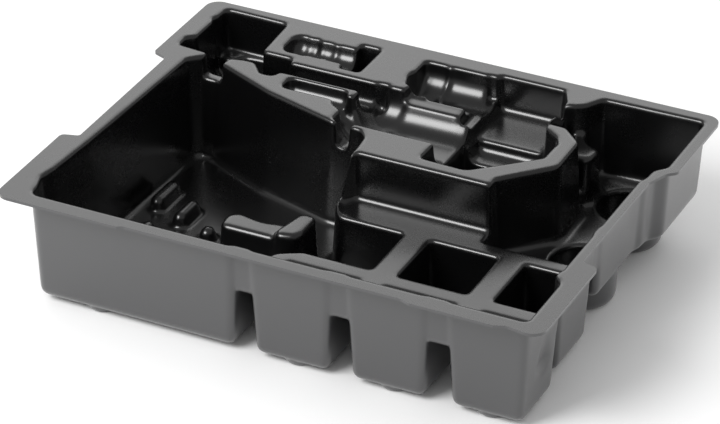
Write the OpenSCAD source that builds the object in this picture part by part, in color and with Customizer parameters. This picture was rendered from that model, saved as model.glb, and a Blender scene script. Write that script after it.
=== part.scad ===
// Case insert: one black sheet, vacuum formed over a male tool, trimmed round its rim.
// Everything is drawn as one continuous wall of even thickness. Each recess is a drafted
// pocket with a rolled top edge and a rounded foot, drawn twice: once as the face that is
// seen (grow 0) and once as the face below (grow = sheet), and the sheet is what lies between.
// Plan positions are measured from the left edge and the front edge of the rim, heights down
// from the top of the rim. The finished part sits centred, on its feet, at z 0.

/* [Overall size] */
// width of the rim, left to right
tray_w = 388; // [380:1:396]
// depth of the rim, front to back
tray_d = 305; // [300:1:311]
// height from the floor of the deep pockets to the top of the rim
tray_h = 80; // [74:1:86]
// thickness of the formed sheet
sheet = 2; // [1.6:0.1:2.2]
// how far the round feet stand below the deep floors
foot_h = 3; // [2:0.5:4]

/* [Levels] */
// drop from the rim down to the deck that carries the small bins
deck_drop = 35.5; // [32:0.5:38]
// drop from the rim down to the floor of the right-hand pocket
side_drop = 56.5; // [52:0.5:60]
// drop from the rim down to the flat floor and the troughs of the tool pocket
tool_drop = 28; // [25:0.5:30]
// drop from the rim down to the floor of the upper left bin
upper_drop = 44; // [38:1:50]

/* [Forming] */
// wall draft that lets the sheet leave the tool, in degrees
draft = 3; // [2:0.5:4]
// radius rolled over every top edge
top_r = 3; // [2.6:0.2:3.6]
// radius left at the foot of every wall
foot_r = 5; // [3:0.5:6]

/* [Rim] */
// width of the rim strip in front of the bins
front_rim = 8.5; // [7:0.5:10]
// how far the wider parts of the front rim stand forward of the rest
lip = 2.5; // [1:0.5:4]
// depth of the long finger relief cut in each side of the rim
side_relief = 12; // [9:0.5:13]
// corner radius of the trimmed rim
rim_r = 10; // [6:1:13]

/* [Bins] */
// width of the small bins along the rim
bin_w = 55; // [52:0.5:57]
// front-to-back size of each small bin
bin_d = 56; // [53:0.5:58]
// width of the ribs between the bins
rib_w = 10.5; // [9:0.5:12]

/* [Cups] */
// bore of the two round cups in the right-hand pocket
cup_d = 44; // [38:0.5:46]
// diameter of the feet under the small bins
foot_d = 20; // [14:1:22]

/* [Hidden] */
slope = tan(draft);
full = tray_h - sheet;
all_h = tray_h + foot_h;
X = tray_w;
Y = tray_d;
ridge_x = 168;
bins_x = ridge_x + 15;
pitch = bin_w + rib_w + 2.5;
row2_y = front_rim + bin_d + 9.5;
deck_back = row2_y + bin_d + 26;
deck_mid = row2_y + bin_d + 12;
black = [0.10, 0.10, 0.11];

// Plan geometry: an outline is a list of corners [x, y, radius], counter-clockwise.
function unit(v) = v / norm(v);
function turned(v, a) = [v.x * cos(a) - v.y * sin(a), v.x * sin(a) + v.y * cos(a)];
function at(p) = [p.x, p.y];
// points on corner i once the outline has been moved inward by u
function corner(o, i, u) =
    let (n = len(o), a = at(o[(i + n - 1) % n]), b = at(o[i]), c = at(o[(i + 1) % n]),
         d1 = unit(b - a), d2 = unit(c - b), n1 = [-d1.y, d1.x], n2 = [-d2.y, d2.x],
         m = b + u * (n1 + n2) / (1 + n1 * n2),
         side = cross(d1, d2) >= 0 ? 1 : -1,
         ang = acos(max(-1, min(1, d1 * d2))),
         r0 = o[i].z,
         r = side > 0 ? max(r0 - u, min(r0, 2)) : max(r0 + u, 0.4),
         s = m - d1 * r * tan(ang / 2), q = s + n1 * side * r,
         k = r0 < 0.6 || ang < 14 ? 0 : ang < 50 || r0 < 3.5 ? 1 : r0 < 13 ? 2 : 3)
    k == 0 ? [m] : [for (j = [0:k]) q + turned(s - q, side * ang * j / k)];
function ring(o, u, z) =
    [for (i = [0:len(o) - 1]) for (p = corner(o, i, u)) [p.x, p.y, z]];

// a solid through stacked rings, given from the lowest to the highest
module skin(rings) {
    n = len(rings[0]);
    m = len(rings);
    polyhedron(
        points = [for (r = rings) for (p = r) p],
        faces = concat(
            [[for (i = [0:n - 1]) i]],
            [[for (i = [n - 1:-1:0]) (m - 1) * n + i]],
            [for (j = [0:m - 2]) for (i = [0:n - 1])
                let (a = j * n + i, b = j * n + (i + 1) % n) each [[a, a + n, b + n], [a, b + n, b]]]),
        convexity = 10);
}

// a recess: outline o at level top, down to the level floor, grown by g for the face below
module pocket(o, floor, g, top = 0, edge = top_r, foot = foot_r) {
    e = max(edge - g, 0.4);
    f = foot + g;
    low = floor - g;
    wall = function(z) edge - g + (top - g - z) * slope;
    base = wall(low + f);
    skin([
        ring(o, base + 0.8 * f, low),
        if (foot > 4.2 && g > 0) ring(o, base + 0.32 * f, low + 0.26 * f),
        ring(o, base, low + 0.8 * f),
        ring(o, wall(top - g - e), top - g - e),
        if (g == 0) ring(o, 0.6 * e, top - 0.22 * e),
        g == 0 ? ring(o, -0.82, top + 0.3) : ring(o, edge - g - e, top + 0.3 - g)
    ]);
}

// a raised form standing in a recess, hollow from below; high is its top, low its foot level
module raised(o, high, low, g, edge = top_r) {
    e = max(edge - g, 0.3);
    out = (high - low) * slope;
    skin([
        ring(o, g - out, low - g - 1),
        ring(o, g, high - g - e),
        if (g == 0) ring(o, 0.38 * e, high - 0.25 * e),
        ring(o, g + e, high - g)
    ]);
}

// a round-bottomed channel lying along x, with straight walls up to the rim
module trough(x0, x1, y, r, drop, g, top = 0) {
    hull() {
        for (x = [x0 - g, x1 + g - 3])
            translate([x, y, top - drop + r]) rotate([0, 90, 0]) cylinder(r = r + g, h = 3, $fn = 16);
        translate([x0 - g - 1, y - r - g - 0.6, top - g]) cube([x1 - x0 + 2 * g + 2, 2 * (r + g) + 1.2, 1.2]);
    }
}

// a round recess, tapered, with a rounded foot
module cup(x, y, r, drop, g, top = 0, foot = foot_r, sides = 20) {
    f = foot + g;
    low = r + g - (drop - foot) * slope;
    translate([x, y, top - drop - g]) hull() {
        cylinder(r1 = low - f * 0.75, r2 = low, h = f * 0.8, $fn = sides);
        translate([0, 0, f * 0.8])
            cylinder(r1 = low, r2 = r + g + 0.6 * slope, h = drop + 0.6 + g - f * 0.8, $fn = sides);
    }
}

// a round foot pressed down from a deep floor
module foot(x, y, g) {
    r = foot_d / 2 - sheet + g;
    translate([x, y, -full - foot_h - g]) cylinder(r1 = r - 1, r2 = r, h = foot_h + 1.5, $fn = 12);
}

// a round-ended rib on the floor of the bay
module floor_rib(x, y0, y1, g) {
    r = 6;
    h = 10;
    z = -full - g;
    hull() for (y = [y0, y1]) translate([x, y, z]) {
        translate([0, 0, -1]) cylinder(r = r - g + 0.5, h = 1, $fn = 8);
        translate([0, 0, h - 3]) cylinder(r1 = r - g - 0.4, r2 = (r - g) * 0.45, h = 3, $fn = 8);
    }
}

// Outlines, in the order of the walls seen from the front left.
function rim_outline() = [
    [0, -lip + 0.5, rim_r], [91, -lip + 0.5, 2], [95, 0, 2], [292, 0, 2], [299, -lip, 2],
    [X - 32, -lip, 2], [X - 24, 0.6, 2], [X - 12, -1.5, 4], [X, -1.8, rim_r],
    [X, 89, 5], [X - side_relief, 91.5, 2], [X - side_relief, 203, 8], [X - 6, 219, 8], [X, 224, 6],
    [X, Y, rim_r], [0, Y, rim_r],
    [0, 218, 3], [side_relief - 0.6, 213.5, 3], [side_relief, 91, 2], [0, 87.5, 4]
];

// the deep L-shaped bay
function bay_outline() = [
    [18, front_rim - 0.5, 9], [ridge_x + 4.5, front_rim - 0.5, 8], [ridge_x + 4.5, row2_y - 11, 6],
    [ridge_x + 20, row2_y - 1.4, 6], [bins_x + 30, row2_y - 1.4, 2], [bins_x + 30, row2_y + bin_d + 1.4, 2],
    [bins_x + 5, row2_y + bin_d + 1.4, 5], [bins_x + 1, deck_mid - 3, 3], [187, deck_back + 1, 6],
    [185, 176, 5], [178, 185, 5], [154, 187, 5], [97.5, 204.4, 30], [56, 223.5, 10], [45, 229, 8],
    [31, 229, 5], [22, 220, 6], [18, 90, 10], [15.5, 46, 8], [13, 33, 8], [17, 20, 6]
];

// the lower well whose floor is the deck
function well_outline() = [
    [ridge_x - 9, front_rim + 1.4, 2], [X - 12.8, front_rim + 1.2, 8], [X - 12.8, row2_y - 9, 5],
    [X - 18.5, row2_y - 4, 5], [X - 17.5, deck_mid + 1, 3], [X - 98, deck_mid + 1, 6],
    [X - 103, deck_mid + 8, 5], [X - 104.5, deck_back + 1, 3], [185, deck_back + 1, 4],
    [176, deck_mid - 2, 2], [bins_x - 1, row2_y + bin_d - 8.7, 2], [bins_x + 3, row2_y + 10, 3],
    [ridge_x - 9, row2_y - 6, 2]
];

// the right-hand pocket, behind the deck
function side_outline() = [
    [X - 104, deck_mid - 4, 3], [X - 16.5, deck_mid - 4, 3], [X - 16.5, 203, 5], [X - 14.2, 208, 3], [X - 13.5, 219, 4], [X - 6.5, 227, 4],
    [X - 6.5, Y - 6.4, 6], [X - 84, Y - 8, 5], [X - 92, Y - 22, 5], [X - 98, Y - 26, 5],
    [X - 106, Y - 27, 2], [X - 106, Y - 60, 2],
    [X - 91, Y - 60.5, 3], [X - 77, Y - 74, 6], [X - 76.5, Y - 108, 8], [X - 104, Y - 141, 5]
];

// the upper left bin
function upper_outline() = [
    [31, Y - 74, 3], [50, Y - 75, 3], [62, Y - 72, 4], [73, Y - 72, 2], [73, Y - 57, 2],
    [69, Y - 49, 3], [66.5, Y - 8, 5], [13, Y - 8, 6], [12, Y - 20, 2], [9.5, Y - 24, 2],
    [12.5, Y - 30, 2], [12.5, Y - 53, 2], [6.5, Y - 56, 4], [7.5, Y - 72, 4], [20, Y - 73, 3]
];

// the pocket that holds the body of the tool, right of the two troughs; it runs out into
// the right-hand pocket at its back right corner
function body_outline() = [
    [229, Y - 88, 3], [303.5, Y - 88, 3], [304.5, Y - 80, 3], [300, Y - 71, 2], [285, Y - 60, 2],
    [287, Y - 24, 2], [279, Y - 8, 4], [229, Y - 8, 4]
];
function ledge_outline() = [[240, Y - 88, 3], [288, Y - 88, 3], [288, Y - 77, 3], [275, Y - 54, 5], [240, Y - 54, 5]];
function trigger_outline() = [
    [224.5, Y - 141, 5], [262, Y - 142.5, 10], [287, Y - 119, 6], [303.5, Y - 103, 3], [303.5, Y - 82, 3],
    [292, Y - 68, 4], [225, Y - 68, 4], [225, Y - 118, 3]
];

function box_outline(x0, x1, y0, y1, r) = [[x0, y0, r], [x1, y0, r], [x1, y1, r], [x0, y1, r]];

// row of small bins: left edge of bin i
function bin_x(i) = bins_x + i * pitch;
// the last bin of each row runs on into the pocket along the right wall
function bin_end(i, row) = i < 2 ? bin_x(i) + bin_w : row == 0 ? X - 21 : X - 26;

// how far a wall that starts at the rim has drifted inward on reaching the deck
drift = deck_drop * slope + 0.4;
// bins open on the deck; where a bin meets an outer wall, a pocket from the rim carries that wall
module bins(g) {
    for (i = [0:2]) {
        pocket(box_outline(bin_x(i), bin_end(i, 0), front_rim + 9, row2_y - 9.5, 5), -full, g, top = -deck_drop);
        // the first bin of the second row is open to the bay on its left
        pocket(box_outline(i == 0 ? bins_x + 9 : bin_x(i), bin_end(i, 1), row2_y, row2_y + bin_d, 5),
               -full, g, top = -deck_drop);
        foot(bin_x(i) + 27, front_rim + 18, g);
    }
    for (i = [0:1])
        pocket(box_outline(bin_x(i) - drift, bin_x(i) + bin_w + drift, front_rim, front_rim + 42, 4), -full, g);
    pocket([[bin_x(2) - drift, front_rim, 4], [X - 12, front_rim, 7], [X - 12, row2_y - 9.5 + drift, 6],
            [X - 52, row2_y - 9.5 + drift, 3], [X - 52, front_rim + 42, 2], [bin_x(2) - drift, front_rim + 42, 2]],
           -full, g);
    pocket(box_outline(X - 50, X - 16.8, row2_y - drift, row2_y + bin_d + drift, 5), -full, g);
}

module tool_pocket(g) {
    // long channel, capsule slot and the block pocket at their left end
    trough(86, 158, Y - 66.5, 7, 17, g);
    pocket([[60, Y - 71, 3], [68, Y - 71.6, 5], [78, Y - 84, 5], [92.5, Y - 84, 7], [94, Y - 50, 5], [60, Y - 50, 5]],
           -30, g, foot = 4);
    trough(101, 146, Y - 85, 7, 11, g);
    // joint, and the seat that opens into the bay
    hull() for (p = [[149, Y - 92, 8], [164, Y - 98, 12]])
        translate([p.x, p.y, 0]) {
            translate([0, 0, -p.z - 2]) sphere(r = p.z + g, $fn = 10);
            translate([0, 0, -g]) cylinder(r = p.z + g, h = 1.2 + g, $fn = 10);
        }
    pocket([[152.6, 181, 3], [177, 178, 3], [183, 194, 4], [184, Y - 74, 3], [192, Y - 64, 3], [189, Y - 50, 3],
            [176, Y - 55, 5], [154, Y - 55.5, 5], [154, 196, 4]], -21, g, foot = 4);
    // big trough, small trough and the ball end of the small one
    trough(176, 238, Y - 97, 19.5, tool_drop + 0.3, g);
    trough(189, 235, Y - 41.5, 23, tool_drop - 1, g);
    hull() for (x = [191, 202]) translate([x, Y - 41.5, 0]) {
        translate([0, 0, -9]) sphere(r = (x < 195 ? 13 : 17) + g, $fn = 12);
        translate([0, 0, -g]) cylinder(r = (x < 195 ? 13 : 17) + g, h = 1.2 + g, $fn = 12);
    }
    // collar of the tool: a faceted ring and the deeper groove beside it
    for (c = [[227, 11, 58, 20], [237, 8, 62, 21]])
        translate([c[0] - g, Y - 68, c[3]]) rotate([0, 90, 0]) cylinder(r = c[2] + g, h = c[1] + 2 * g, $fn = 24);
    // body pocket: flat floor at the back, a lower ledge before it, deep at the front
    pocket(body_outline(), -tool_drop, g);
    pocket(ledge_outline(), -tool_drop - 8, g, top = -tool_drop + 2, edge = 2.4, foot = 4);
    pocket(trigger_outline(), -tool_drop - 20, g);
}

module small_tool_pocket(g) {
    trough(79, 128, Y - 33, 10.5, 15, g);
    hull() for (x = [86, 92]) translate([x, Y - 32, -5]) {
        sphere(r = 10 + g, $fn = 10);
        translate([0, 0, 5 - g]) cylinder(r = 10 + g, h = 1.2 + g, $fn = 10);
    }
    pocket(box_outline(121.5, 142.5, Y - 53, Y - 10.5, 4), -40, g, foot = 4);
}

module recesses(g) {
    pocket(bay_outline(), -full, g);
    pocket(well_outline(), -deck_drop, g, foot = 4);
    bins(g);
    pocket(side_outline(), -side_drop, g);
    pocket(upper_outline(), -upper_drop, g);
    for (y = [Y - 46, Y - 127]) cup(X - 46.5, y, cup_d / 2, all_h - sheet - side_drop, g, -side_drop);
    tool_pocket(g);
    small_tool_pocket(g);
    // saddle that lets a finger pass from the upper left bin into the bay
    pocket(box_outline(34, 51, Y - 92, Y - 64, 3), -6.5, g, edge = 2.4, foot = 2.6);
    // feet under the front and the back of the bay
    foot(64, front_rim + 19, g);
    foot(62, Y - 113, g);
}

module raised_forms(g) {
    // grip rest in the bay: low block with a hollowed back, tall block beside it
    raised([[121, 93, 5], [154, 93, 4], [158, 113, 3], [140, 110, 25], [124, 112, 7], [119, 106, 6]],
           -deck_drop - 6, -full, g);
    raised([[162, 89, 4], [172, 92, 4], [175, 98, 4], [175, 121, 6], [163, 121, 6], [160, 95, 4]],
           -deck_drop, -full, g);
    // floor ribs in two rows
    floor_rib(40, 146, 168, g);
    floor_rib(64, 134, 151, g);
    floor_rib(90, 124, 125, g);
    floor_rib(50, 92, 113, g);
    floor_rib(77, 86, 108, g);
    floor_rib(103, 80, 103, g);
    // shelf in the upper left bin and the post in the corner of the right-hand pocket
    raised([[25, Y - 31, 5], [80, Y - 29, 2], [80, Y + 10, 2], [0, Y + 10, 2], [0, Y - 20, 2], [20, Y - 21, 4]],
           -20, -upper_drop, g);
    raised([[X - 95, Y - 56, 3], [X - 73, Y - 57, 6], [X - 71, Y - 40, 6], [X - 82, Y - 35, 4], [X - 95, Y - 18, 3]],
           -22, -side_drop, g);
    raised([[X - 97, Y - 71, 3], [X - 77, Y - 71, 4], [X - 77, Y - 50, 4], [X - 97, Y - 50, 3]], -48, -side_drop, g);
}

// tapered dimple pressed into the outside of the right wall, near the front corner
module side_dimple(g) {
    r = sheet - g;
    hull() {
        translate([X - 5.5, 42, -12]) cylinder(r1 = 5 + r, r2 = 3.5 + r, h = 3, $fn = 16);
        translate([X - 7, 41, -47 - r]) cylinder(r = 12 + r, h = 2, $fn = 16);
    }
}

module face(g) {
    difference() {
        recesses(g);
        raised_forms(g);
        side_dimple(g);
    }
}

module tray() {
    color(black) translate([-X / 2, -(Y - lip) / 2, all_h]) difference() {
        union() {
            skin([ring(rim_outline(), 0, -sheet), ring(rim_outline(), 0, 0)]);
            face(sheet);
        }
        face(0);
        // nothing stands above the rim
        translate([-10, -10, 0]) cube([X + 20, Y + 20, 100]);
    }
}

tray();
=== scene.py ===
import math
import bpy
import numpy as np
from mathutils import Matrix, Vector


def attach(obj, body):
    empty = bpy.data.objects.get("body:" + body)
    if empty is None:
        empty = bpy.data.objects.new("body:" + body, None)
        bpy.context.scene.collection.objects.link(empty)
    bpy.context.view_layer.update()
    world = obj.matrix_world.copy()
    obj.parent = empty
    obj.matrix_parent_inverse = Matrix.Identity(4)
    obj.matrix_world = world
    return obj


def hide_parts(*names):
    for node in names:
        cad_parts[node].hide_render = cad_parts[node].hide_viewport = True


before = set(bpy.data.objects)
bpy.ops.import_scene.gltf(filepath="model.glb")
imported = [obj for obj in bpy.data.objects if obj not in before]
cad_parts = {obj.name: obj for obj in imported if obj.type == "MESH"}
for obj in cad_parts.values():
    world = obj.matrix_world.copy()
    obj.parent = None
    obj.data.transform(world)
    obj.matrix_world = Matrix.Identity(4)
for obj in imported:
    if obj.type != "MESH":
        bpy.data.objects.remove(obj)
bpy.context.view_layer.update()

# The forming tool
# The sheet takes its shape from one male tool, so its seen face is worked out first as the
# space above the tool: every recess is an upright hollow with drafted walls and a rounded
# foot. Places are in millimetres from the left and front edges of the rim, z down from it.
RIM_W, RIM_D, RIM_UP = 388.0, 305.0, 83.0
CENTRE_Y = 151.25
SLOPE = math.tan(math.radians(3))
LEAN = math.cos(math.radians(3))
TOP_R = 3.0
FOOT_R = 5.0
STEP = 1.2
xs = np.arange(-4.2, RIM_W + 4.3, STEP)
ys = np.arange(-6.6, RIM_D + 4.3, STEP)
zs = np.arange(-85.8, 3.7, STEP)
air = np.empty((len(xs), len(ys), len(zs)), np.float32)
air[:] = -zs


def outline(corners):
    """A closed line through corners (x, y, radius): each corner is an arc about a centre that
    lies one radius in from both sides, turned from one side's touching point to the other's."""
    c = np.array(corners, float)
    here, r = c[:, :2], c[:, 2]
    into, away = here - np.roll(here, 1, 0), np.roll(here, -1, 0) - here
    into /= np.linalg.norm(into, axis=1)[:, None]
    away /= np.linalg.norm(away, axis=1)[:, None]
    turn = np.arctan2(into[:, 0] * away[:, 1] - into[:, 1] * away[:, 0], (into * away).sum(1))
    start = here - into * (r * np.tan(np.abs(turn) / 2))[:, None]
    inward = np.stack([-into[:, 1], into[:, 0]], 1) * np.sign(turn)[:, None]
    middle = start + inward * r[:, None]
    angle = turn[:, None] * np.linspace(0, 1, 9)
    cos, sin = np.cos(angle), np.sin(angle)
    arm = (start - middle)[:, None]
    x = arm[..., 0] * cos - arm[..., 1] * sin
    y = arm[..., 0] * sin + arm[..., 1] * cos
    return (np.stack([x, y], -1) + middle[:, None]).reshape(-1, 2)


def plan_distance(line, x, y):
    """Distance in plan from points to a closed line, negative inside. Each side gives the
    distance to its nearest point; a point is inside if its ray to +x crosses an odd number."""
    line = line.astype(np.float32)
    a, b = line, np.roll(line, -1, 0)
    side = b - a
    long = (side ** 2).sum(1)
    a, b, side, long = a[long > 1e-8], b[long > 1e-8], side[long > 1e-8], long[long > 1e-8]
    px, py = x.ravel().astype(np.float32)[:, None], y.ravel().astype(np.float32)[:, None]
    wx, wy = px - a[:, 0], py - a[:, 1]
    t = np.clip((wx * side[:, 0] + wy * side[:, 1]) / long, 0, 1)
    near = np.sqrt(((wx - t * side[:, 0]) ** 2 + (wy - t * side[:, 1]) ** 2).min(1))
    spans = (a[:, 1] <= py) != (b[:, 1] <= py)
    with np.errstate(divide="ignore", invalid="ignore"):
        cross = wx < wy * side[:, 0] / side[:, 1]
    inside = (spans & cross).sum(1) % 2 == 1
    return np.where(inside, -near, near).reshape(x.shape)


def meet(a, b, r):
    """Where two spaces overlap, with the corner between them turned on radius r: within r of
    both walls the distance is measured from the centre of the arc."""
    return (np.minimum(-r, np.maximum(a, b))
            + np.hypot(np.maximum(a + r, 0), np.maximum(b + r, 0)))


def window(x0, x1, y0, y1):
    """The part of the grid round a form, with its coordinates as columns that broadcast."""
    i = slice(*np.searchsorted(xs, (x0 - 9, x1 + 9)))
    j = slice(*np.searchsorted(ys, (y0 - 9, y1 + 9)))
    return (i, j), xs[i][:, None, None], ys[j][None, :, None], zs[None, None, :]


def hollow(where, space):
    """Adds a space to the air above the tool."""
    air[where] = np.minimum(air[where], space)


def recess(corners, floor, top=0.0, edge=TOP_R, foot=FOOT_R):
    """A drafted pocket: its outline shrinks as it goes down from top, and meets the floor on
    the foot radius. The outline is where the rolled edge ends on the face above."""
    line = outline(corners)
    where, x, y, z = window(line[:, 0].min(), line[:, 0].max(), line[:, 1].min(), line[:, 1].max())
    plan = plan_distance(line, *np.broadcast_arrays(x[..., 0], y[..., 0]))[:, :, None]
    hollow(where, meet((plan + edge + (top - z) * SLOPE) * LEAN, floor - z, foot))


def rise(corners, high, low, edge=TOP_R, foot=FOOT_R):
    """A form that stands up in a recess: drafted sides from the outline at its top down to
    low, a rolled top edge, and a rounded foot all round it."""
    line = outline(corners)
    spread = (high - low) * SLOPE
    where, x, y, z = window(line[:, 0].min() - spread, line[:, 0].max() + spread,
                            line[:, 1].min() - spread, line[:, 1].max() + spread)
    plan = plan_distance(line, *np.broadcast_arrays(x[..., 0], y[..., 0]))[:, :, None]
    body = meet((plan - (high - z) * SLOPE) * LEAN, z - high, edge)
    air[where] = meet(air[where], -body, foot)


def trough(x0, x1, middle, radius, drop, ends=4.0):
    """A round-bottomed channel along x: a circle round its axis below the axis and upright
    walls above it. The radius may be a number or pairs (x, radius) along the channel."""
    places, sizes = np.array(radius if np.ndim(radius) else [(0, radius)], float).T
    widest = sizes.max()
    where, x, y, z = window(x0, x1, middle - widest, middle + widest)
    radius = np.interp(x, places, sizes)
    side = np.hypot(y - middle, np.minimum(z - (widest - drop), 0)) - radius
    hollow(where, meet(side, np.abs(x - (x0 + x1) / 2) - (x1 - x0) / 2, ends))


def ball_run(p, q):
    """The space swept by a ball (x, y, depth of its centre, radius) that goes from p to q and
    up out of the rim: the distance to the line between the centres less the ball's radius."""
    p, q = np.array(p, float), np.array(q, float)
    lo, hi = np.minimum(p, q), np.maximum(p, q)
    where, x, y, z = window(lo[0] - hi[3], hi[0] + hi[3], lo[1] - hi[3], hi[1] + hi[3])
    run = q - p
    t = np.clip(((x - p[0]) * run[0] + (y - p[1]) * run[1]) / (run[:2] ** 2).sum(), 0, 1)
    c = [p[n] + t * run[n] for n in range(4)]
    hollow(where, np.sqrt((x - c[0]) ** 2 + (y - c[1]) ** 2
                          + np.minimum(z - c[2], 0) ** 2) - c[3])


def cup(middle_x, middle_y, radius, floor, top, foot=FOOT_R):
    """A round tapered pocket: a circle that shrinks by the draft on the way down."""
    where, x, y, z = window(middle_x - radius, middle_x + radius,
                            middle_y - radius, middle_y + radius)
    wall = np.hypot(x - middle_x, y - middle_y) - radius + (top - z) * SLOPE
    hollow(where, meet(wall, floor - z, foot))


def ridge(x, y0, y1, high, radius):
    """A round-ended rib on the floor of the bay: the distance to its middle line, less a
    radius that narrows towards its domed top."""
    where, gx, gy, z = window(x - radius, x + radius, y0 - radius, y1 + radius)
    off = np.hypot(gx - x, gy - np.clip(gy, y0, y1))
    up = z - (high - radius)
    body = np.hypot(off, np.maximum(up, 0)) - radius + np.minimum(up, 0) * 0.06
    air[where] = meet(air[where], -body, 2.0)


def box(x0, x1, y0, y1, r):
    """The four corners of a plain rectangle."""
    return [(x0, y0, r), (x1, y0, r), (x1, y1, r), (x0, y1, r)]


# The deep bay and the small bins
# The largest pocket is an L that runs under the deck's left end, with two rows of bins beside
# it. The ribs between the bins stop at the deck, so the well above them is a recess of its own.
X, Y = RIM_W, RIM_D
FULL, DECK = -78.0, -35.5
FRONT = 8.5
RIDGE_X = 168.0
BINS_X = 183.0
BIN_W, BIN_D, PITCH = 55.0, 56.0, 68.0
RIB = 9.5
ROW2 = FRONT + BIN_D + RIB
DECK_MID = ROW2 + BIN_D + 12
DECK_BACK = ROW2 + BIN_D + 26
DRIFT = -DECK * SLOPE
BAY = [
    (18, FRONT - 0.5, 9), (RIDGE_X + 4.5, FRONT - 0.5, 8), (RIDGE_X + 4.5, ROW2 - 11, 6),
    (RIDGE_X + 20, ROW2 - 1.9, 6), (BINS_X + BIN_W + DRIFT, ROW2 - 1.9, 7),
    (BINS_X + BIN_W + DRIFT, ROW2 + BIN_D + 1.9, 7), (BINS_X + 5, ROW2 + BIN_D + 1.9, 5),
    (BINS_X + 1, DECK_MID - 3, 3), (187, DECK_BACK + 1, 6), (185, 176, 5), (178, 185, 5),
    (154, 187, 5), (97.5, 204.4, 30), (56, 223.5, 10), (45, 229, 8), (31, 229, 5),
    (22, 220, 6), (18, 90, 10), (15.5, 46, 8), (13, 33, 8), (17, 20, 6)]
WELL = [
    (RIDGE_X - 9, FRONT + 1.4, 2), (X - 12.8, FRONT + 1.2, 8), (X - 12.8, ROW2 - 9, 5),
    (X - 18.5, ROW2 - 4, 5), (X - 17.5, DECK_MID + 6, 3), (X - 96, DECK_MID + 6, 4),
    (X - 96, DECK_BACK + 1, 3), (185, DECK_BACK + 1, 4),
    (176, DECK_MID - 2, 2), (BINS_X - 1, ROW2 + BIN_D - 8.7, 2), (BINS_X + 3, ROW2 + 10, 3),
    (RIDGE_X - 9, ROW2 - 6, 2)]
recess(BAY, FULL)
recess(WELL, DECK, foot=4)
for n in range(3):
    left = BINS_X + n * PITCH - DRIFT
    right = left + BIN_W + 2 * DRIFT
    recess(box(left - (4, 3, 1)[n], right if n < 2 else X - 12, FRONT, ROW2 - RIB + DRIFT, 6),
           FULL, foot=4)
    if n:
        recess(box(left, right if n < 2 else X - 16.8, ROW2 - DRIFT, ROW2 + BIN_D + DRIFT, 6),
               FULL)

# The right-hand pocket and the upper left bin
# Both are plain drafted pockets. Two round cups go on down from the floor of the right one,
# and the upper bin has a raised shelf along its back and a low saddle into the bay.
SIDE_FLOOR, UPPER_FLOOR = -56.5, -44.0
SIDE = [
    (X - 107, DECK_MID - 7, 3), (X - 16.5, DECK_MID - 7, 3), (X - 16.5, 203, 5),
    (X - 14.2, 208, 3), (X - 13.5, 219, 4), (X - 6.5, 227, 4), (X - 6.5, Y - 6.4, 6),
    (X - 84, Y - 8, 5), (X - 92, Y - 22, 5), (X - 98, Y - 26, 5), (X - 106, Y - 27, 2),
    (X - 106, Y - 60, 2), (X - 91, Y - 60.5, 3), (X - 77, Y - 74, 6), (X - 76.5, Y - 108, 8),
    (X - 107, Y - 141, 5)]
UPPER = [
    (31, Y - 74, 3), (50, Y - 75, 3), (62, Y - 72, 4), (73, Y - 72, 2), (73, Y - 57, 2),
    (69, Y - 49, 3), (66.5, Y - 6, 5), (13, Y - 5, 6), (12, Y - 20, 2), (9.5, Y - 24, 2),
    (12.5, Y - 30, 2), (12.5, Y - 53, 2), (6.5, Y - 56, 4), (7.5, Y - 72, 4), (20, Y - 73, 3)]
recess(SIDE, SIDE_FLOOR)
recess(UPPER, UPPER_FLOOR)
for y in (Y - 46, Y - 127):
    cup(X - 46.5, y, 22, FULL - 3, SIDE_FLOOR)
recess(box(30.5, 53, Y - 93, Y - 63, 3), -16, edge=3, foot=2.6)

# The tool pocket
# A power tool lies on its side here: a thin channel and a slot for its accessories, a joint
# and a seat that open into the bay, two troughs, the collar, and the body's faceted pocket.
TOOL_FLOOR = -28.0
trough(86, 161, Y - 66.5, 7, 17)
recess([(60, Y - 71, 3), (68, Y - 71.6, 5), (78, Y - 84, 5), (92.5, Y - 84, 7),
        (94, Y - 50, 5), (60, Y - 50, 5)], -30, foot=4)
trough(101, 146, Y - 85, 7, 11.5)
ball_run((149, Y - 92, -10, 8), (164, Y - 98, -14, 12))
recess([(152.6, 181, 3), (170, 179, 3), (171, 194, 4), (170, Y - 74, 3), (170, Y - 54, 3),
        (154, Y - 55.5, 5), (154, 196, 4)], -21, foot=5)
recess([(149, Y - 119.5, 3), (256, Y - 119.5, 3), (256, Y - 59, 3), (184, Y - 59, 4),
        (180, Y - 56.5, 4), (149, Y - 56.5, 3)], -24, foot=18)
recess(box(176, 231, Y - 70, Y - 48, 3), -9, foot=2)
trough(193.5, 240, Y - 31, 15.7, 20.4, ends=2)
recess(box(188, 226, Y - 54, Y - 36, 3), -16, foot=5)
trough(174.5, 192.5, Y - 31, 15.7, 19.4, ends=2)
recess(box(172, 196, Y - 53, Y - 30, 4), -11, foot=8)
ball_run((184, Y - 38, -12, 11.5), (186, Y - 38, -12, 11.5))
recess(box(218, 232.5, Y - 66, Y - 11, 4), -19, foot=3)
recess([(226, Y - 88, 3), (303.5, Y - 88, 3), (304.5, Y - 80, 3), (300, Y - 71, 2),
        (285, Y - 60, 2), (287, Y - 24, 2), (279, Y - 8, 4), (226, Y - 8, 4)], TOOL_FLOOR + 1)
recess([(231, Y - 88, 3), (292, Y - 88, 3), (292, Y - 77, 3), (283, Y - 53, 4),
        (231, Y - 53, 4)], TOOL_FLOOR - 8, top=TOOL_FLOOR + 1, edge=2.4, foot=6)
recess([(224.5, Y - 141, 5), (262, Y - 142.5, 10), (287, Y - 119, 6), (303.5, Y - 103, 3),
        (303.5, Y - 82, 3), (292, Y - 68, 4), (225, Y - 68, 4), (225, Y - 118, 3)],
       TOOL_FLOOR - 20)

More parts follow.
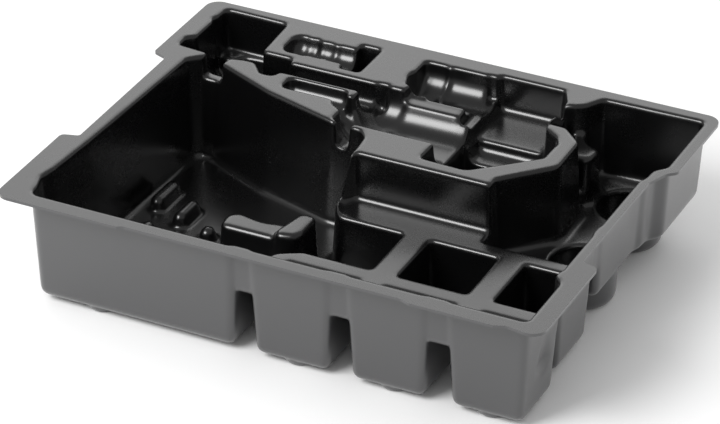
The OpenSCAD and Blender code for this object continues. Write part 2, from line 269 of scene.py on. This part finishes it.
# The pocket for the small tool
# A short round-bottomed slot with a lobed side, and a deep square slot at its right end.
LOBES = [(77, 9), (80, 11.5), (85, 12.5), (89, 11.3), (93, 12.5), (96, 12), (98, 9.8),
         (100, 11), (107, 11), (109.5, 9.4), (112, 11), (128, 11)]
trough(77, 128, Y - 32.5, LOBES, 13.6)
recess(box(121.5, 142.5, Y - 53, Y - 10.5, 4), -40, foot=4)

# The forms that stand up in the recesses
# The grip rest in the bay is a low block beside a tall one. Six domed ribs keep small things
# off the bay's floor, and a post stands in the corner of the right-hand pocket.
rise([(116, 92, 5), (160, 92, 3), (162, 114, 3), (140, 109, 25), (121, 113, 7), (114, 106, 6)],
     DECK - 6, FULL, foot=3)
rise([(159, 88, 4), (172, 91, 4), (175, 98, 4), (175, 122, 6), (162, 122, 6), (157, 95, 4)],
     DECK, FULL, foot=3)
for x, y0, y1 in ((40, 146, 168), (64, 134, 151), (90, 124, 125),
                  (50, 92, 113), (77, 86, 108), (103, 80, 103)):
    ridge(x, y0, y1, FULL + 10, 5.5)
rise([(21, Y - 24, 4), (29, Y - 22, 4), (33, Y - 15, 6), (80, Y - 13, 2), (80, Y + 10, 2),
      (0, Y + 10, 2), (0, Y - 19, 2), (17, Y - 20, 4)], -31, UPPER_FLOOR, edge=2, foot=1.6)
rise([(X - 95, Y - 56, 3), (X - 73, Y - 57, 6), (X - 71, Y - 40, 6), (X - 82, Y - 35, 4),
      (X - 95, Y - 18, 3)], -22, SIDE_FLOOR)
rise([(X - 97, Y - 71, 3), (X - 77, Y - 71, 4), (X - 77, Y - 50, 4), (X - 97, Y - 50, 3)],
     -48, SIDE_FLOOR)

# The dimple in the right wall
# A tapered thumb hollow pressed into the outside of the wall, so it swells inwards.
where, x, y, z = window(X - 21, X + 10, 26, 56)
down = np.clip((-9 - z) / 38, 0, 1)
swell = np.sqrt((x - (X - 5.5 - 1.5 * down)) ** 2 + (y - (42 - down)) ** 2
                + np.minimum(z + 47, 0) ** 2 + np.maximum(z + 9, 0) ** 2) - (5.5 + 8.5 * down)
air[where] = meet(air[where], -swell, 2.0)


# The formed sheet
# Hot plastic sheet doesn't follow sharp edges, so the space is eased before the face is taken
# from it. The sheet is one even thickness, and its rim is trimmed with a cutter after forming.
SHEET = 2.0
RIM = [
    (0, -2, 10), (91, -2, 2), (95, 0, 2), (292, 0, 2), (299, -2.5, 2), (X - 32, -2.5, 2),
    (X - 24, 0.6, 2), (X - 12, -1.5, 4), (X, -1.8, 10), (X, 89, 5), (X - 12, 91.5, 2),
    (X - 12, 203, 8), (X - 6, 219, 8), (X, 224, 6), (X, Y, 10), (0, Y, 10), (0, 218, 3),
    (11.4, 213.5, 3), (12, 91, 2), (0, 87.5, 4)]
FACE_TRIANGLES = 96000


def eased(field, times):
    """The field averaged with its neighbours, one quarter, half, one quarter, along each axis
    and several times over. Flat walls stay where they are and edges roll."""
    np.clip(field, -12, 12, out=field)
    for turn in range(times):
        for axis in range(3):
            side = np.moveaxis(field, axis, 0)
            side[1:-1] = 0.25 * side[:-2] + 0.5 * side[1:-1] + 0.25 * side[2:]
    return field


def sampled(field, points):
    """The field's value between grid points, by straight-line blending along each axis."""
    g = (points - (xs[0], ys[0], zs[0])) / STEP
    n = np.clip(np.floor(g).astype(int), 0, np.array(field.shape) - 2)
    f = g - n
    value = 0
    for corner in np.ndindex(2, 2, 2):
        weight = np.prod(np.where(corner, f, 1 - f), axis=1)
        value = value + weight * field[tuple((n + corner).T)]
    return value


def uphill(field, points, reach=0.9):
    """The direction in which the field grows, from its values on either side of a point."""
    steps = reach * np.eye(3)
    return np.stack([sampled(field, points + s) - sampled(field, points - s) for s in steps],
                    1) / (2 * reach)


def settled(field, points, times=3):
    """Points moved along the slope of the field until its value at each is nothing."""
    for turn in range(times):
        slope = uphill(field, points)
        points = points - slope * (sampled(field, points)
                                   / np.maximum((slope ** 2).sum(1), 0.05))[:, None]
    return points


def level_face(field):
    """The field's zero face as points and quads. Each grid cell that the face passes through
    gets one point, the mean of where the face cuts its twelve edges, and each cut edge of the
    grid gets one quad through the four cells round it, turned towards the air."""
    shape = np.array(field.shape) - 1
    total = np.zeros((*shape, 3), np.float32)
    count = np.zeros(shape, np.int8)
    cuts = []
    for axis in range(3):
        step = np.eye(3, dtype=int)[axis]
        low = field[tuple(slice(0, n - s) for n, s in zip(field.shape, step))]
        high = field[tuple(slice(s, n) for n, s in zip(field.shape, step))]
        cut = (low > 0) != (high > 0)
        at = np.argwhere(cut)
        part = low[cut] / (low[cut] - high[cut])
        place = at.astype(np.float32)
        place[:, axis] += part
        others = [a for a in range(3) if a != axis]
        for back in np.ndindex(2, 2):
            cell = at.copy()
            cell[:, others] -= back
            fine = ((cell >= 0) & (cell < shape)).all(1)
            np.add.at(total, tuple(cell[fine].T), place[fine])
            np.add.at(count, tuple(cell[fine].T), 1)
        cuts.append((at, low[cut] > 0, axis, others))
    used = count > 0
    number = np.full(shape, -1)
    number[used] = np.arange(used.sum())
    points = total[used] / count[used][:, None] * STEP + (xs[0], ys[0], zs[0])
    quads = []
    for at, falls, axis, (u, v) in cuts:
        fine = (at[:, u] > 0) & (at[:, v] > 0) & (at[:, u] < shape[u]) & (at[:, v] < shape[v])
        at, falls = at[fine], falls[fine]
        ring = []
        for du, dv in ((1, 1), (0, 1), (0, 0), (1, 0)):
            cell = at.copy()
            cell[:, u] -= du
            cell[:, v] -= dv
            ring.append(number[tuple(cell.T)])
        ring = np.stack(ring, 1)
        # the air lies beyond the higher end of the edge where the field falls along it
        flip = falls if axis != 1 else ~falls
        quads.append(np.where(flip[:, None], ring, ring[:, ::-1]))
    return points, np.concatenate(quads)


def trimmed(points, quads, line):
    """The face cut off at the rim line. Quads wholly outside go, and the outer points of the
    quads that straddle it are brought in to the line along the shortest way."""
    off = plan_distance(line, points[:, 0], points[:, 1])
    quads = quads[(off[quads] < 0).any(1)]
    loose = np.unique(quads)
    loose = loose[off[loose] >= 0]
    for turn in range(3):
        p = points[loose]
        d = plan_distance(line, p[:, 0], p[:, 1])
        gx = (plan_distance(line, p[:, 0] + 0.05, p[:, 1])
              - plan_distance(line, p[:, 0] - 0.05, p[:, 1])) / 0.1
        gy = (plan_distance(line, p[:, 0], p[:, 1] + 0.05)
              - plan_distance(line, p[:, 0], p[:, 1] - 0.05)) / 0.1
        points[loose, 0] -= gx * d
        points[loose, 1] -= gy * d
    kept, quads = np.unique(quads, return_inverse=True)
    return points[kept], quads.reshape(-1, 4)


def thinned(points, quads, triangles):
    """The same face with fewer triangles, large where it is flat and small where it bends."""
    mesh = bpy.data.meshes.new("face")
    mesh.from_pydata(points.tolist(), [], quads.tolist())
    piece = bpy.data.objects.new("face", mesh)
    bpy.context.scene.collection.objects.link(piece)
    fewer = piece.modifiers.new("fewer", "DECIMATE")
    fewer.ratio = min(1.0, triangles / (2 * len(quads)))
    ready = piece.evaluated_get(bpy.context.evaluated_depsgraph_get()).to_mesh()
    ready.calc_loop_triangles()
    points = np.empty(3 * len(ready.vertices))
    ready.vertices.foreach_get("co", points)
    faces = np.empty(3 * len(ready.loop_triangles), int)
    ready.loop_triangles.foreach_get("vertices", faces)
    bpy.data.objects.remove(piece)
    bpy.data.meshes.remove(mesh)
    return points.reshape(-1, 3), faces.reshape(-1, 3)


# the small round feet under the front blocks are eased once only, so they stay crisp
PAD_X = (64, *(BINS_X + n * PITCH + 26 for n in range(3)))
PAD_Y, PAD_R, PAD_Z = FRONT + 18.5, 9.5, -81.0
RIM_TOP = -0.05
air = eased(air, 2)
for x in PAD_X:
    cup(x, PAD_Y, PAD_R, PAD_Z, FULL, foot=1.0)
air = eased(air, 1)
points, quads = level_face(air)
points = settled(air, points)
points, quads = trimmed(points, quads, outline(RIM))
points, faces = thinned(points, quads, FACE_TRIANGLES)
points = np.where((points[:, 2] > RIM_TOP)[:, None], points * (1, 1, 0), settled(air, points, 2))
normals = -uphill(air, points)
normals /= np.linalg.norm(normals, axis=1)[:, None]
normals[points[:, 2] > RIM_TOP] = (0, 0, 1)

# the face below lies one thickness behind each point, and a band of quads closes the rim
sides = np.concatenate([faces[:, [0, 1]], faces[:, [1, 2]], faces[:, [2, 0]]])
key = np.sort(sides, 1) @ (1, len(points))
_, first, uses = np.unique(key, return_index=True, return_counts=True)
edge = sides[first[uses == 1]]
count = len(points)
below = points - normals * SHEET
rows = np.concatenate([faces, faces[:, ::-1] + count])
band = np.stack([edge[:, 1], edge[:, 0], edge[:, 0] + count, edge[:, 1] + count], 1)
everything = (np.concatenate([points, below]) - (RIM_W / 2, CENTRE_Y, -RIM_UP)) / 1000

mesh = bpy.data.meshes.new("formed_sheet")
mesh.from_pydata(everything.tolist(), [], rows.tolist() + band.tolist())
mesh.update()
under = mesh.attributes.new("underside", "FLOAT", "FACE")
under.data.foreach_set("value", np.concatenate(
    [np.zeros(len(faces)), np.ones(len(faces) + len(band))]).astype(np.float32))
corner = np.empty(len(mesh.loops), int)
mesh.loops.foreach_get("vertex_index", corner)
shading = np.concatenate([normals, -normals])[corner]
along = points[edge[:, 1]] - points[edge[:, 0]]
out = np.stack([along[:, 1], -along[:, 0], 0 * along[:, 0]], 1)
out /= np.maximum(np.linalg.norm(out, axis=1), 1e-9)[:, None]
shading[3 * len(rows):] = np.repeat(out, 4, 0)
mesh.polygons.foreach_set("use_smooth", np.ones(len(mesh.polygons), bool))
mesh.normals_split_custom_set(shading.tolist())
tray = bpy.data.objects.new("formed_sheet", mesh)
bpy.context.scene.collection.objects.link(tray)


class Wire:
    """A socket's output that takes part in sums: each operator adds its Math node."""

    def __init__(self, tree, socket):
        self.tree, self.socket = tree, socket

    def math(self, kind, *values):
        return node(self.tree, "ShaderNodeMath", {"operation": kind}, *values)

    def __add__(self, other):
        return self.math("ADD", self, other)

    def __radd__(self, other):
        return self.math("ADD", other, self)

    def __sub__(self, other):
        return self.math("SUBTRACT", self, other)

    def __rsub__(self, other):
        return self.math("SUBTRACT", other, self)

    def __mul__(self, other):
        return self.math("MULTIPLY", self, other)

    def __rmul__(self, other):
        return self.math("MULTIPLY", other, self)


def node(tree, kind, settings, *values, out=0, **named):
    """A node of a type with its settings, then its sockets' values or links in order or by
    name. Returns one of its outputs as a Wire."""
    made = tree.nodes.new(kind)
    for name, value in settings.items():
        setattr(made, name, value)
    for place, value in [*enumerate(values), *named.items()]:
        socket = made.inputs[place.replace("_", " ") if isinstance(place, str) else place]
        if isinstance(value, Wire):
            tree.links.new(value.socket, socket)
        else:
            socket.default_value = value
    return Wire(tree, made.outputs[out])


def finish():
    """Black styrene sheet. The seen face is glossy with a faint ripple from the draw; the
    underside, which touched the tool, is duller. The sheet is black on both sides, but the seen
    face is painted darker, near black, as painted shade for the pockets, and the underside is
    painted a lighter grey as painted light for the outer walls."""
    material = bpy.data.materials.new("black_sheet")
    material.use_nodes = True
    tree = material.node_tree
    shader = tree.nodes["Principled BSDF"]
    place = node(tree, "ShaderNodeTexCoord", {}, out=3)
    below = node(tree, "ShaderNodeAttribute", {"attribute_name": "underside"}, out=2)
    grain = node(tree, "ShaderNodeTexNoise", {}, Vector=place, Scale=900.0, Detail=2.0)
    cloud = node(tree, "ShaderNodeTexNoise", {}, Vector=place, Scale=22.0, Detail=3.0)
    ripple = node(tree, "ShaderNodeTexNoise", {}, Vector=place, Scale=45.0, Detail=1.0)
    # painted light and shade: near black on the seen face stands in for the shade in the pockets,
    # lighter grey on the underside for the light on the outer walls
    painted_side_tone = node(tree, "ShaderNodeMix", {"data_type": "RGBA"}, below, out=2)
    tree.nodes[-1].inputs[6].default_value = (0.0022, 0.0022, 0.0024, 1)
    tree.nodes[-1].inputs[7].default_value = (0.050, 0.050, 0.052, 1)
    tree.links.new(painted_side_tone.socket, shader.inputs["Base Color"])
    rough = 0.28 + below * 0.12 + (cloud - 0.5) * 0.08 + (grain - 0.5) * 0.05
    tree.links.new(rough.socket, shader.inputs["Roughness"])
    bumps = grain * (0.25 + 0.75 * below) * 0.00002 + ripple * 0.00004
    bump = node(tree, "ShaderNodeBump", {}, Height=bumps, Strength=1.0, Distance=1.0)
    tree.links.new(bump.socket, shader.inputs["Normal"])
    shader.inputs["IOR"].default_value = 1.5
    shader.inputs["Coat Weight"].default_value = 1.0
    shader.inputs["Coat IOR"].default_value = 1.5
    shader.inputs["Coat Roughness"].default_value = 0.24
    return material


mesh.materials.append(finish())
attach(tray, "root")
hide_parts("tray")


# The studio
# A plain white table under two broad soft lamps, one front left and one behind, in an even
# pale surround.
def studio():
    """Floor, surround and lamps."""
    scene = bpy.context.scene
    ground = bpy.data.meshes.new("floor")
    ground.from_pydata([(-6, -6, 0), (6, -6, 0), (6, 6, 0), (-6, 6, 0)], [], [(0, 1, 2, 3)])
    floor = bpy.data.objects.new("floor", ground)
    scene.collection.objects.link(floor)
    paint = bpy.data.materials.new("white_table")
    paint.use_nodes = True
    tree = paint.node_tree
    seen = node(tree, "ShaderNodeLightPath", {}, out=0)
    mirrored = node(tree, "ShaderNodeLightPath", {}, out=3)
    shade = node(tree, "ShaderNodeMix", {"data_type": "RGBA"},
                 seen.math("MAXIMUM", seen, mirrored), out=2)
    tree.nodes[-1].inputs[6].default_value = (0.75, 0.75, 0.75, 1)
    tree.nodes[-1].inputs[7].default_value = (0.98, 0.98, 0.98, 1)
    tree.links.new(shade.socket, tree.nodes["Principled BSDF"].inputs["Base Color"])
    tree.nodes["Principled BSDF"].inputs["Roughness"].default_value = 0.9
    tree.nodes["Principled BSDF"].inputs["Specular IOR Level"].default_value = 0.0
    ground.materials.append(paint)

    world = bpy.data.worlds.new("surround")
    scene.world = world
    world.use_nodes = True
    tree = world.node_tree
    seen = node(tree, "ShaderNodeLightPath", {}, out=0)
    mirrored = node(tree, "ShaderNodeLightPath", {}, out=3)
    power = 0.66 + 0.34 * seen - 0.36 * mirrored
    background = tree.nodes["Background"]
    background.inputs["Color"].default_value = (1, 1, 1, 1)
    tree.links.new(power.socket, background.inputs["Strength"])

    for name, wide, high, power, place in (("soft_box", 1.1, 1.0, 32, (-0.8, -1.3, 1.45)),
                                           ("far_box", 2.6, 1.5, 14, (-1.0, 2.1, 1.35))):
        light = bpy.data.lights.new(name, "AREA")
        light.shape = "RECTANGLE"
        light.size, light.size_y = wide, high
        light.energy = power
        lamp = bpy.data.objects.new(name, light)
        lamp.location = place
        lamp.rotation_euler = (-lamp.location).to_track_quat("-Z", "Y").to_euler()
        lamp.visible_camera = False
        scene.collection.objects.link(lamp)


studio()

# The camera
# A long lens looks down from the front, a little right of the middle. Its distance and focal
# length in pixels come from the fit to the photograph.
AZIMUTH, ELEVATION, ROLL = math.radians(-64.44), math.radians(30.57), math.radians(0.5)
DISTANCE, FOCAL_PX, WIDTH_PX = 2.6018, 3931, 720
back = Vector((math.cos(ELEVATION) * math.cos(AZIMUTH), math.cos(ELEVATION) * math.sin(AZIMUTH),
               math.sin(ELEVATION)))
level = Vector((-math.sin(AZIMUTH), math.cos(AZIMUTH), 0))
upward = back.cross(level)
right = math.cos(ROLL) * level + math.sin(ROLL) * upward
upward = math.cos(ROLL) * upward - math.sin(ROLL) * level
spot = Vector((0, 0.00145, 0.083)) + DISTANCE * back - 0.0036 * right - 0.0377 * upward
lens = bpy.data.cameras.new("camera")
lens.sensor_width = 36
lens.lens = FOCAL_PX / WIDTH_PX * 36
camera = bpy.data.objects.new("camera", lens)
camera.matrix_world = Matrix((right, upward, back)).transposed().to_4x4()
camera.matrix_world.translation = spot
bpy.context.scene.collection.objects.link(camera)
bpy.context.scene.camera = camera
bpy.context.scene.view_settings.view_transform = "Standard"
